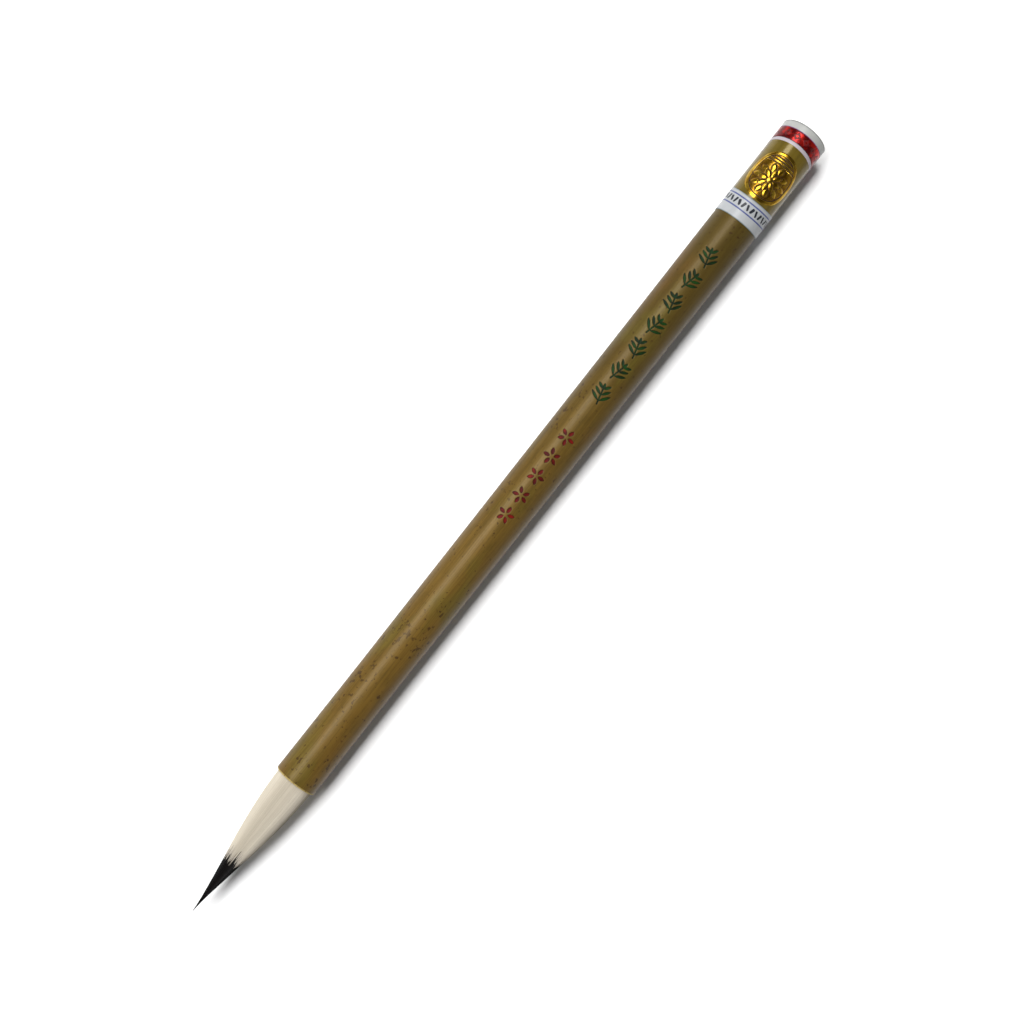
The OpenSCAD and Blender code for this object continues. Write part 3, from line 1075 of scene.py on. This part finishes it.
body_out = np.linspace(0.4, MANTLE_END - 1.2, 24)
mantle_profile = ([(ROOT_END, LINING_R), (ROOT_END, 4.05), (-4.0, 4.1),
                   (-3.4, ROOT_R - 0.05), (0.0, ROOT_R - 0.05)]
                  + [(u, float(tuft_radius(u)) * 0.955) for u in body_out]
                  + [(MANTLE_END - 0.4, LINING_R * 0.93), (MANTLE_END - 1.0, LINING_R * 0.86),
                     (10.0, LINING_R)])
count = 2300
angles_m = rng.uniform(0, 2 * math.pi, count)
locks_m = locks_for(angles_m, 120)
lock_end = 21.9 + 0.5 * np.sin(locks_m * 7 + 0.5) + 0.6 * np.sin(locks_m * 17 + 2.0)
ends_m = lock_end + rng.normal(0, 0.3, count)
short = rng.uniform(0, 1, count) < 0.35
ends_m = np.where(short, rng.uniform(12, 21, count), ends_m)
mantle_hairs = lay_hairs(np.full(count, -0.8), ends_m, angles_m, locks_m,
                         rng.uniform(0.955, 1.0, count), rng.uniform(0.1, 0.17, count), 10, 0.55)
mantle = hair_piece("tuft_white_mantle", [hair_body(mantle_profile), mantle_hairs],
                    white_hair)

# %% [markdown]
# Lining and dark point
#
# The lining shows only as a few grey hairs between the white and the black. The dark
# core fans out under the ends of the white hair and then closes to a point that is
# one hair thick, which is what a writer looks for in a brush.

# %% Lining and core
lining_profile = [(ROOT_END, CORE_R), (ROOT_END, LINING_R - 0.03), (10.0, LINING_R - 0.03),
                  (19.0, LINING_R * 0.84), (20.5, 1.8), (19.5, 1.72), (12.0, CORE_R)]
count = 420
angles_l = rng.uniform(0, 2 * math.pi, count)
lining_hairs = lay_hairs(rng.uniform(14, 17, count), rng.uniform(21.0, 24.6, count), angles_l,
                         locks_for(angles_l, 90), rng.uniform(0.9, 0.95, count),
                         rng.uniform(0.08, 0.12, count), 7, 0.6)
lining = hair_piece("tuft_lining", [hair_body(lining_profile), lining_hairs],
                    lining_hair)

core_out = np.linspace(20.0, TUFT_LEN - 0.8, 22)
core_profile = ([(ROOT_END, 0.0), (ROOT_END, CORE_R - 0.03), (12.0, CORE_R - 0.03),
                 (18.5, 1.68)]
                + [(u, float(tuft_radius(u)) * 0.9) for u in core_out]
                + [(TUFT_LEN - 0.5, 0.0)])
count = 1500
angles_c = rng.uniform(0, 2 * math.pi, count)
locks_c = locks_for(angles_c, 46)
reach_c = np.where(rng.uniform(0, 1, count) < 0.5, rng.uniform(27, 34.5, count),
                   rng.uniform(33, TUFT_LEN - 0.15, count))
core_hairs = lay_hairs(rng.uniform(18.6, 20.4, count), reach_c, angles_c, locks_c,
                       rng.uniform(0.88, 0.965, count), rng.uniform(0.09, 0.14, count), 10, 0.5,
                       spread=0.02)
core = hair_piece("tuft_dark_core", [hair_body(core_profile), core_hairs],
                  dark_hair)

# %% [markdown]
# Layers in place
#
# The tuft has one hinge in the frame, and hair bends in a curve. Here each layer stays
# straight: its placement is applied to its points, and the frame's root and hair parts
# that it stands for are hidden.

# %% Apply the layers' placement
for layer, nodes in ((mantle, ("mantle_root", "mantle_hair")),
                     (lining, ("lining_root", "lining_hair")),
                     (core, ("core_root", "core_hair"))):
    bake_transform(layer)
    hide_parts(*nodes)

# %% [markdown]
# Hidden parts
#
# Glue, rosin, thread and the tail's wooden plug keep their CAD shapes. They are
# small and mostly out of sight, but each still gets its own finish, because the model
# may be opened.


# %% Glue, rosin, thread and plug
def grained_finish(name, light, dark, scale, rough, coat, stretch=(1.0, 1.0, 1.0)):
    stuff = Finish(name)
    grain = stuff.noise(stuff.place() * stretch, scale, 4, 0.6)
    return stuff.surface(Base_Color=stuff.mix(grain, light, dark), Roughness=rough + grain * 0.2,
                         Coat_Weight=coat, Coat_Roughness=0.1,
                         Normal=stuff.bump(grain, 0.05, 0.5))


hidden = {
    "socket_glue": grained_finish("glue", linear(214, 178, 96), linear(180, 140, 62),
                                  900, 0.25, 0.5),
    "rosin_plug": grained_finish("rosin", linear(140, 88, 30), linear(96, 56, 18),
                                 600, 0.15, 0.6),
    "root_binding": grained_finish("thread", linear(226, 218, 198), linear(178, 168, 146),
                                   5200, 0.7, 0.0),
    "tail_plug": grained_finish("plug_wood", linear(186, 156, 100), linear(132, 102, 56),
                                2600, 0.6, 0.0, (0.06, 1.0, 1.0)),
}
for node_name, material in hidden.items():
    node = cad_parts[node_name]
    for place in node.material_slots:
        place.material = material
print("finished", ", ".join(hidden))

# %% Finish
looks_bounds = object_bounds()
for title, (low, high) in (("frame", cad_bounds), ("dressed", looks_bounds)):
    print(title, [round(v * 1000, 2) for v in (*low, *high)])
